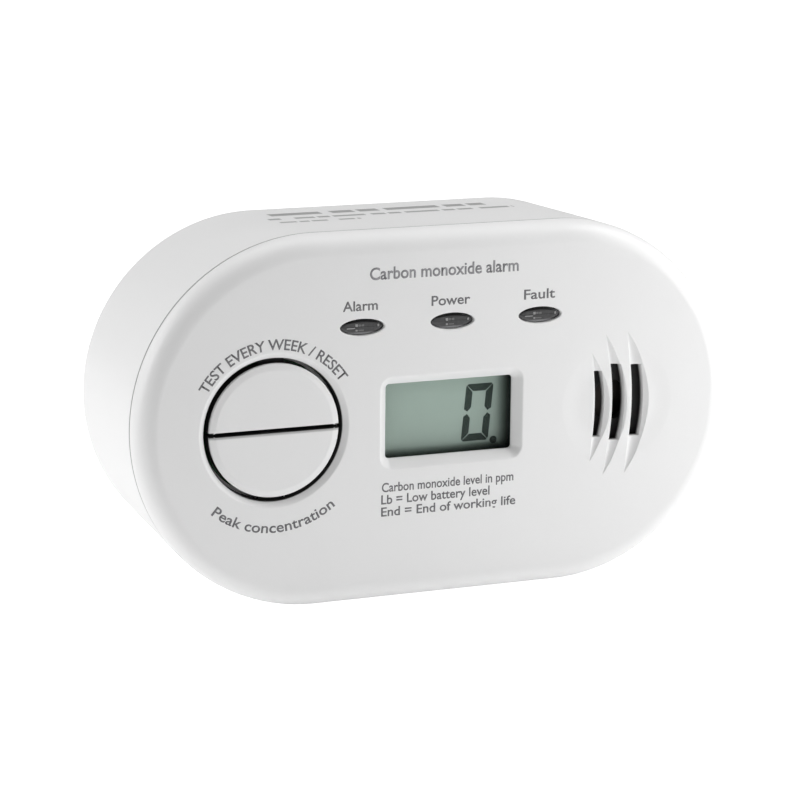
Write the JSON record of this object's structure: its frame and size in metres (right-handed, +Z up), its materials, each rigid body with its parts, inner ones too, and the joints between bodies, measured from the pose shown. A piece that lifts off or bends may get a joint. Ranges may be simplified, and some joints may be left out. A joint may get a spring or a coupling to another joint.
{
  "type": "carbon monoxide detector",
  "caption": "Oval battery carbon monoxide alarm with a small display, a split round push button, oval status lights and a slotted sounder grille, for a wall or a shelf.",
  "frame": {"origin": "middle of the bounding box at the level of the shelf it stands on", "axes": "+X to the right seen from the front, -Y out of the front face, +Y to the wall, +Z up"},
  "size_m": [0.12, 0.041, 0.0706],
  "materials": {
    "white_plastic": "fine-textured white ABS",
    "button_plastic": "satin white ABS",
    "black_plastic": "matt black moulding",
    "smoked_plastic": "smoked transparent, polished",
    "clear_plastic": "clear polished acrylic",
    "display_glass": "grey-green reflective liquid crystal glass",
    "conductive_rubber": "striped conductive elastomer",
    "red_led": "diffused red epoxy",
    "green_led": "diffused green epoxy",
    "amber_led": "diffused amber epoxy",
    "board_laminate": "green solder mask on glass laminate",
    "brass": "rolled brass, satin",
    "steel": "nickel-plated steel",
    "cell_wrap": "shrink-wrapped dark sleeve",
    "label_paper": "blank coated label stock"
  },
  "bodies": {
    "alarm": {"front_cover": "white_plastic", "rear_housing": "white_plastic", "button_frame": "button_plastic", "test_switch": "black_plastic", "peak_switch": "black_plastic", "display_lens": "clear_plastic", "lcd_glass": "display_glass", "lcd_holder": "black_plastic", "lcd_connector": "conductive_rubber", "alarm_lens": "smoked_plastic", "power_lens": "smoked_plastic", "fault_lens": "smoked_plastic", "alarm_led": "red_led", "power_led": "green_led", "fault_led": "amber_led", "sounder_case": "black_plastic", "piezo_disc": "brass", "sounder_plate": "black_plastic", "circuit_board": "board_laminate", "sensor_can": "steel", "sensor_cap": "black_plastic", "capacitor": "cell_wrap", "sounder_coil": "black_plastic", "microcontroller": "black_plastic", "cover_screw_1": "steel", "cover_screw_2": "steel", "cover_screw_3": "steel", "cover_screw_4": "steel", "board_screw_1": "steel", "board_screw_2": "steel", "board_screw_3": "steel", "battery_cell_1": "cell_wrap", "battery_spring_1": "steel", "battery_cell_2": "cell_wrap", "battery_spring_2": "steel", "battery_cell_3": "cell_wrap", "battery_spring_3": "steel", "battery_contact_1": "steel", "battery_contact_2": "steel", "battery_contact_3": "steel", "battery_contact_4": "steel"},
    "test_button": {"test_button": "button_plastic"},
    "peak_button": {"peak_button": "button_plastic"},
    "test_plunger": {"test_plunger": "black_plastic"},
    "peak_plunger": {"peak_plunger": "black_plastic"},
    "battery_door": {"battery_door": "white_plastic", "rating_label": "label_paper"}
  },
  "joints": [
    {"name": "test_button_press", "type": "hinge", "parent": "alarm", "child": "test_button", "pos_m": [-0.0336, -0.01785, 0.0491], "axis": [1, 0, 0], "range_deg": [0, 2.3], "stiffness_Nm_per_rad": 0.5},
    {"name": "peak_button_press", "type": "hinge", "parent": "alarm", "child": "peak_button", "pos_m": [-0.0336, -0.01785, 0.0207], "axis": [-1, 0, 0], "range_deg": [0, 2.3], "stiffness_Nm_per_rad": 0.5},
    {"name": "test_plunger_slide", "type": "slide", "parent": "alarm", "child": "test_plunger", "axis": [0, 1, 0], "range_m": [0, 0.0003]},
    {"name": "peak_plunger_slide", "type": "slide", "parent": "alarm", "child": "peak_plunger", "axis": [0, 1, 0], "range_m": [0, 0.0003]},
    {"name": "battery_door_hinge", "type": "hinge", "parent": "alarm", "child": "battery_door", "pos_m": [0, 0.0194, 0.012], "axis": [-1, 0, 0], "range_deg": [0, 90]}
  ],
  "couplings": [
    {"joint": "test_plunger_slide", "follows": "test_button_press", "m_per_rad": 0.0072},
    {"joint": "peak_plunger_slide", "follows": "peak_button_press", "m_per_rad": 0.0072}
  ]
}
